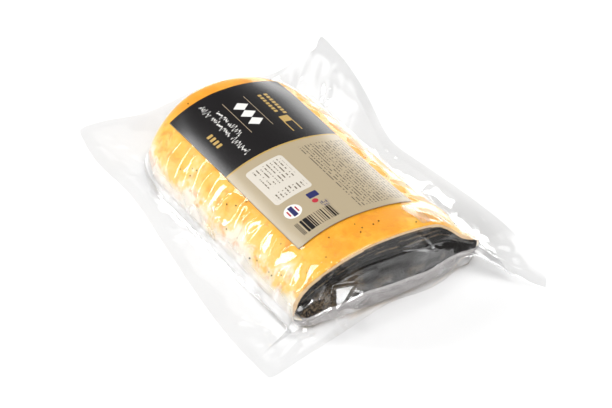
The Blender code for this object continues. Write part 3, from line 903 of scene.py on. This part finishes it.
# The label; its print is laid out in millimetres from its middle, along the roll and across it
label = {
    "length": 147 * mm,
    "width": 80 * mm,
    "rows": 120,
    "columns": 80,
    "gap": 0.35 * mm,
    "thickness": 0.12 * mm,
    "black": "120F10",
    "tan": "AD9E82",
    "gold": "B99A58",
    "white": "E6E4E0",
    "panel": "D2CBBF",
    "brown": "6B6152",
    "navy": "2A2C5E",
    "red": "B3343F",
    "divider": -7.0,
    # Rows of small print: middle, half sizes, pitch of the rows, share inked, length of a stroke, offset
    "smallPrint": [((13, -18), (9.5, 10.5), 2.4, 0.3, 0.8, 0.2, "brown"),
                   ((31, -18), (3.0, 10.5), 2.4, 0.34, 0.7, 0.2, "brown"),
                   ((34.5, 23), (34, 16), 2.05, 0.36, 0.75, 0.5, "brown"),
                   ((54, -8.2), (2.6, 2.4), 1.2, 0.5, 0.5, 0.0, "navy")],
    # Lines of scrawl: height across the label, and the middle and half length of each word
    "scrawl": [(-14.2, [(-50.5, 6.0), (-36.0, 7.0)]), (-19.6, [(-62.0, 5.5), (-43.5, 10.5), (-21.5, 9.0)])],
    "lozenges": [-52.6, -44.0, -35.4],
    "bars": ((62.5, -19.5), (5.5, 12.5), 0.42),
}


def plainFields():
    # Fields of one colour: middle, half sizes, radius of the corners, colour
    fields = [((label["divider"] + 0.6, 0), (0.65, 60), 0.1, "gold")]
    fields += [((-44, line), (17, 0.18), 0.1, "tan") for line in (7, -8)]
    fields += [((-41.5 + 3.6 * k, -29), (1.1, 2.0), 0.5, "gold") for k in range(4)]
    fields += [((-57.5 + 3.1 * k, 20.8), (1.1, 1.2), 0.5, "gold") for k in range(8)]
    fields += [((-57.5 + 3.1 * k, 16.4), (1.1, 1.2), 0.5, "gold") for k in range(7)]
    fields += [((-29.5, 17.5), (3.2, 3.2), 0.5, "gold")]
    fields += [((-21, line), (5.5, 0.35), 0.35, "gold") for line in (20.5, 14.5)]
    # A pale panel, a disc with bars and two spots of colour
    fields += [((19, -18.2), (18, 12.8), 2.5, "panel"), ((47.5, -26.5), (5.5, 5.5), 5.5, "white"),
               ((47.5, -26.5), (4.3, 1.5), 0.3, "navy"), ((47.5, -23.6), (2.4, 0.5), 0.3, "red"),
               ((47.5, -29.4), (2.4, 0.5), 0.3, "red"), ((43.5, -10.2), (2.6, 3.4), 0.8, "navy"),
               ((49.0, -11.8), (1.9, 1.9), 1.9, "red")]
    return fields


def fieldMask(add, place, centre, half, corner=0.1):
    # 1 inside a field with rounded corners
    moved = add("VectorMath", {0: place, 1: (*centre, 0)}, "SUBTRACT")
    folded = add("VectorMath", {0: moved}, "ABSOLUTE")
    inset = (max(half[0] - corner, 0), max(half[1] - corner, 0), 1)
    beyond = add("VectorMath", {0: folded, 1: inset}, "SUBTRACT")
    clipped = add("VectorMath", {0: beyond, 1: (0, 0, 0)}, "MAXIMUM")
    away = add("VectorMath", {0: clipped}, "LENGTH").outputs["Value"]
    return add("Math", {0: away, 1: corner}, "LESS_THAN")


def lozengeMask(add, place, along):
    moved = add("VectorMath", {0: place, 1: (along, 0, 0)}, "SUBTRACT")
    folded = add("VectorMath", {0: moved}, "ABSOLUTE")
    slope = add("VectorMath", {0: folded, 1: (1 / 4.1, 1 / 5.3, 0)}, "DOT_PRODUCT")
    return add("Math", {0: slope.outputs["Value"], 1: 1.0}, "LESS_THAN")


def scrawlMask(add, along, across, line):
    # A thin line that wanders up and down like writing, but says nothing
    stretch = add("Math", {0: along, 1: 0.62, 2: line}, "MULTIPLY_ADD")
    wander = add("TexNoise", {"W": stretch, "Scale": 1.0, "Detail": 1.0}, noise_dimensions="1D")
    middle = add("Math", {0: wander.outputs[0], 1: 9.0, 2: line - 4.5}, "MULTIPLY_ADD")
    off = add("Math", {0: across, 1: middle}, "SUBTRACT")
    size = add("Math", {0: off}, "ABSOLUTE")
    return add("Math", {0: size, 1: 0.5}, "LESS_THAN")


def smallPrintMask(add, along, across, pitch, share, stroke, offset):
    # Unreadable rows of print: broken short strokes, row under row
    row = add("Math", {0: across, 1: 1 / pitch, 2: offset}, "MULTIPLY_ADD")
    column = add("Math", {0: along, 1: 1 / stroke}, "MULTIPLY")
    inRow = add("Math", {0: row}, "FRACT")
    onRow = add("Math", {0: inRow, 1: share}, "LESS_THAN")
    cell = add("CombineXYZ", {0: add("Math", {0: column}, "FLOOR"),
                                        1: add("Math", {0: row}, "FLOOR")})
    chance = add("TexWhiteNoise", {"Vector": cell}, noise_dimensions="2D").outputs["Value"]
    inked = add("Math", {0: chance, 1: 0.36}, "GREATER_THAN")
    return add("Math", {0: onRow, 1: inked}, "MULTIPLY")


def barsMask(add, across, pitch):
    stripe = add("Math", {0: across, 1: 1 / pitch}, "MULTIPLY")
    number = add("Math", {0: stripe}, "FLOOR")
    chance = add("TexWhiteNoise", {"W": number}, noise_dimensions="1D").outputs["Value"]
    return add("Math", {0: chance, 1: 0.5}, "LESS_THAN")


def coatedPaper():
    # Printed paper under a satin coat that takes soft, broad highlights
    material, add = newMaterial("satin coated label paper")
    uv = add("UVMap", uv_map="labelPlace")
    middled = add("VectorMath", {0: uv, 1: (0.5, 0.5, 0)}, "SUBTRACT")
    sizes = (label["length"] / mm, label["width"] / mm, 0)
    place = add("VectorMath", {0: middled, 1: sizes}, "MULTIPLY")
    parts = add("SeparateXYZ", {0: place})
    along, across = parts.outputs[0], parts.outputs[1]

    def paint(under, mask, colour, field=None):
        # Lays a colour where the mask is 1, and only inside the field if there is one
        if field:
            mask = add("Math", {0: mask, 1: fieldMask(add, place, *field)}, "MULTIPLY")
        return add("Mix", {0: mask, 6: under, 7: hexColour(label[colour])}, data_type="RGBA")

    nearHalf = add("Math", {0: along, 1: label["divider"]}, "GREATER_THAN")
    colour = paint(hexColour(label["black"]), nearHalf, "tan")
    for centre, half, corner, ink in plainFields():
        colour = paint(colour, fieldMask(add, place, centre, half, corner), ink)
    for middle in label["lozenges"]:
        colour = paint(colour, lozengeMask(add, place, middle), "white")
    for line, words in label["scrawl"]:
        mask = scrawlMask(add, along, across, line)
        for centre, half in words:
            colour = paint(colour, mask, "white", ((centre, line), (half, 2.6)))
    for centre, half, pitch, share, stroke, offset, ink in label["smallPrint"]:
        mask = smallPrintMask(add, along, across, pitch, share, stroke, offset)
        colour = paint(colour, mask, ink, (centre, half))
    centre, half, pitch = label["bars"]
    colour = paint(colour, barsMask(add, across, pitch), "black", (centre, half))
    # Painted shade: dark lines along the near and the left edge, for the thin shadow the label's edge casts
    colour = paint(colour, add("Math", {0: along, 1: 73.2}, "GREATER_THAN"), "brown")
    colour = paint(colour, add("Math", {0: across, 1: -39.7}, "LESS_THAN"), "brown")
    shader = add("BsdfPrincipled", {"Base Color": colour, "Roughness": 0.26, "IOR": 1.5})
    return finishMaterial(material, shader)


def labelGrid(lift):
    # Points of the label at even steps of the paper's own width, lifted off the skin
    x = label["length"] * np.linspace(-0.5, 0.5, label["rows"] + 1)
    fine = np.radians(np.linspace(-70, 70, 561))
    grid = skinPoint(x[:, None] + 0 * fine[None], fine[None] + 0 * x[:, None])
    grid = grid + normalsOf(grid) * lift
    girth = lengthsAlong(grid, 1)
    girth = girth - girth[:, [len(fine) // 2]]
    want = label["width"] * np.linspace(-0.5, 0.5, label["columns"] + 1)
    return np.stack([np.stack([np.interp(want, girth[i], grid[i, :, k]) for k in range(3)], -1)
                     for i in range(len(x))])


def buildLabel():
    top = labelGrid(label["gap"] + label["thickness"])
    bottom = labelGrid(label["gap"])
    sheets = [addSheet(top), addSheet(bottom)]
    # The primitive's own map runs across its columns, so it is turned to run along the roll
    for sheet in sheets:
        layer = sheet.data.uv_layers[0]
        flat = np.empty(len(layer.data) * 2)
        layer.data.foreach_get("uv", flat)
        layer.data.foreach_set("uv", flat.reshape(-1, 2)[:, ::-1].ravel())
    sheets += wallSheets(top, bottom)
    for sheet in sheets:
        sheet.data.uv_layers[0].name = "labelPlace"
    paper = joinSheets("labelPaper", sheets, sharpAngle=50)
    paper.data.materials.append(coatedPaper())
    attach(paper, "root")
    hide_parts("label")
    print("scene: label,", len(paper.data.polygons), "faces")


buildStudio()
buildFilm()
buildCrust()
buildFilling()
buildLabel()

print("scene: finished")
